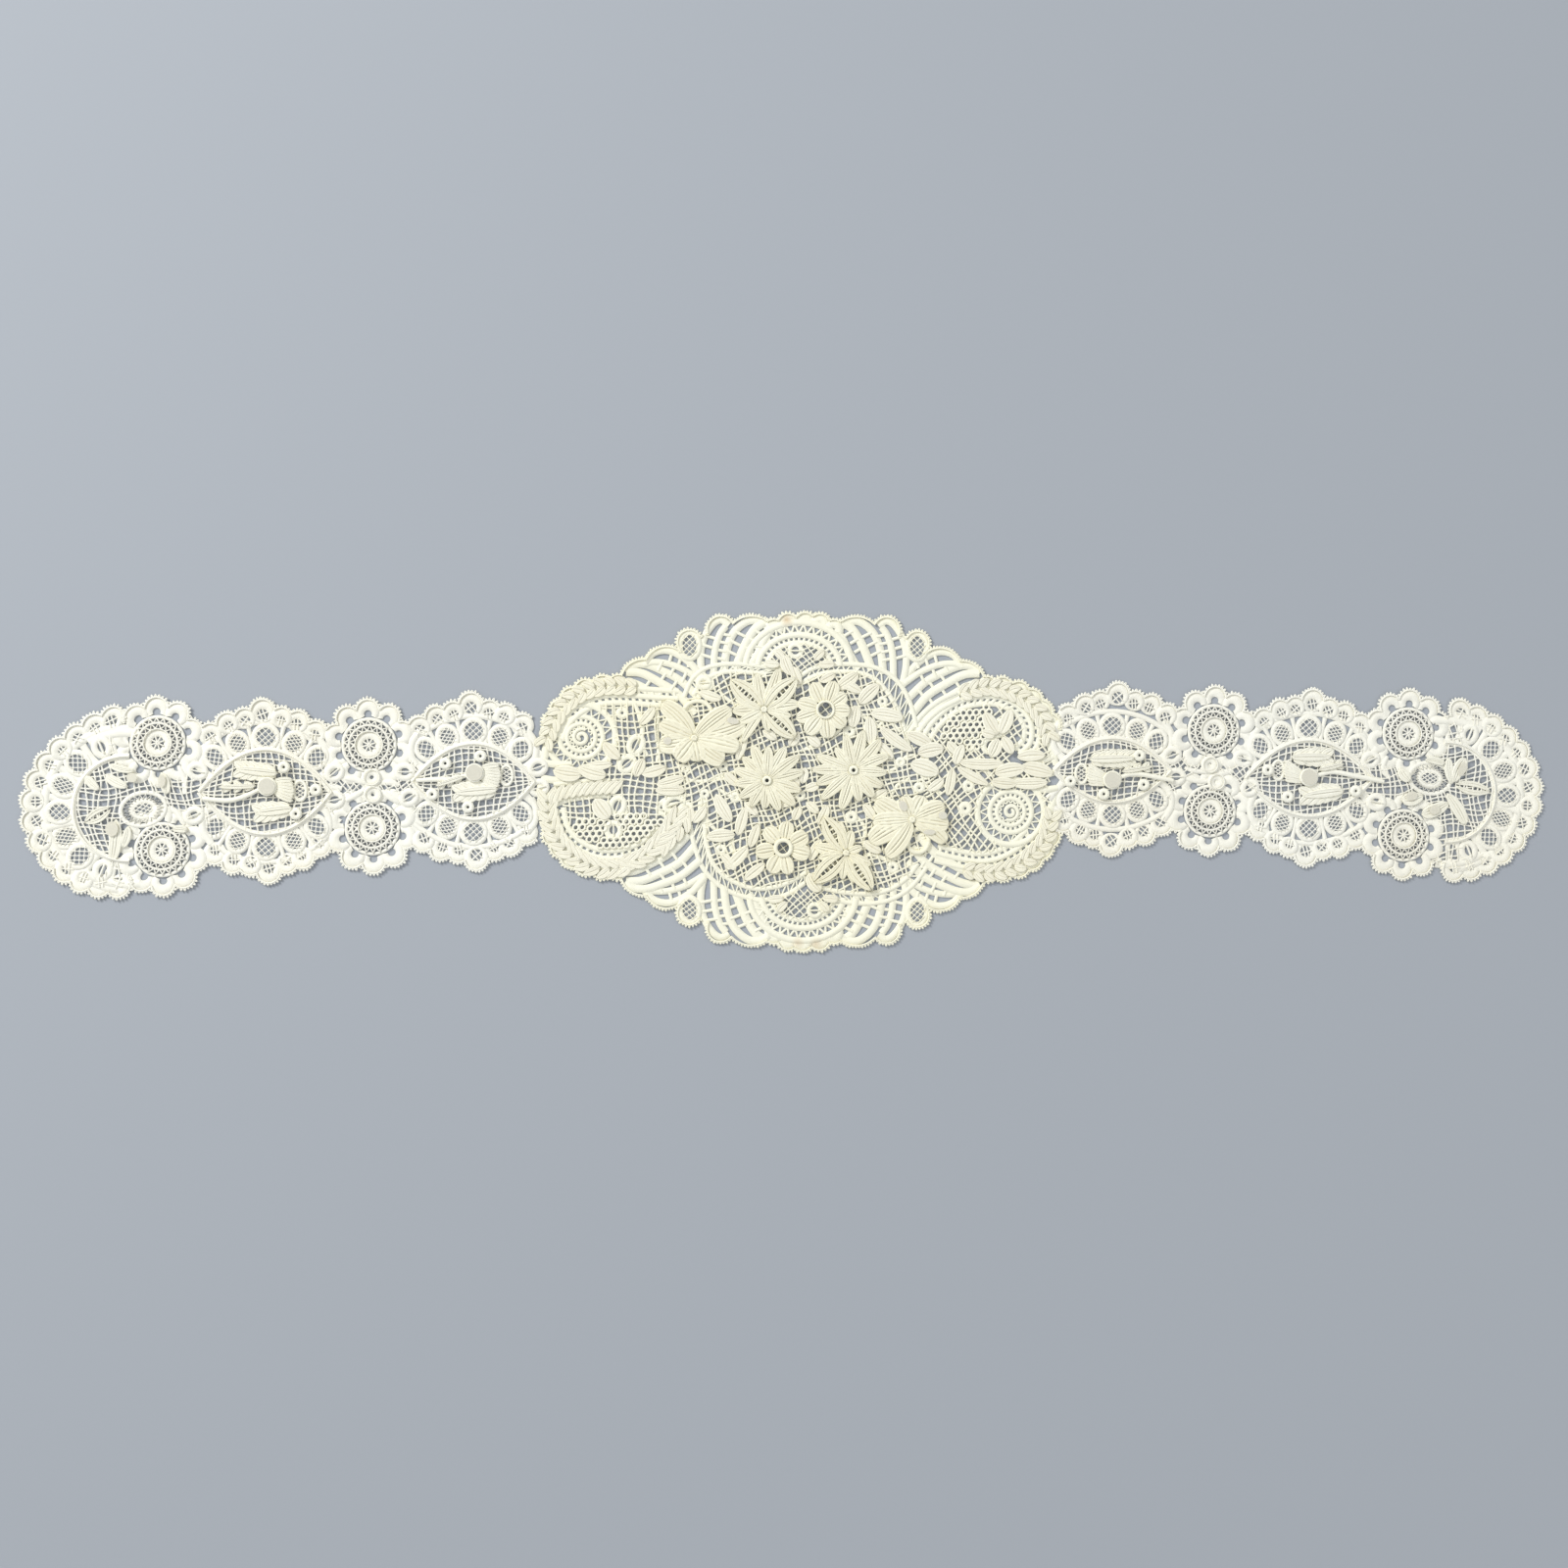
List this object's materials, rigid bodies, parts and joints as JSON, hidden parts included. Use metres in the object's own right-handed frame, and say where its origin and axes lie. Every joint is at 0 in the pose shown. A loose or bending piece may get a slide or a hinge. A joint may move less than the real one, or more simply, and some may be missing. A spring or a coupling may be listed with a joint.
{
  "type": "shaped bobbin lace insertion with two scalloped arms",
  "caption": "Shaped piece of floral bobbin lace: a lozenge medallion with raised flowers and two scalloped arms, laid flat.",
  "frame": {"origin": "middle of the underside of the whole piece, on the surface that it lies on", "axes": "+X along the length, from the left arm to the right arm; +Y across, towards the medallion's upper edge; +Z out of the right side of the lace"},
  "size_m": [0.7999, 0.178, 0.0035],
  "materials": {
    "lace_medallion": "matt cream cotton thread, lightly yellowed",
    "lace_arms": "matt off-white cotton thread",
    "lace_flowers": "matt cream cotton thread, close clothwork"
  },
  "bodies": {
    "root": {"medallion": "lace_medallion", "left_arm": "lace_arms", "right_arm": "lace_arms", "lily_upper": "lace_flowers", "lily_lower": "lace_flowers", "daisy_upper": "lace_flowers", "daisy_lower": "lace_flowers", "aster_left": "lace_flowers", "aster_right": "lace_flowers", "spray_upper": "lace_flowers", "spray_lower": "lace_flowers", "thistle_left_inner": "lace_flowers", "thistle_left_outer": "lace_flowers", "thistle_right_inner": "lace_flowers", "thistle_right_outer": "lace_flowers"}
  },
  "joints": []
}
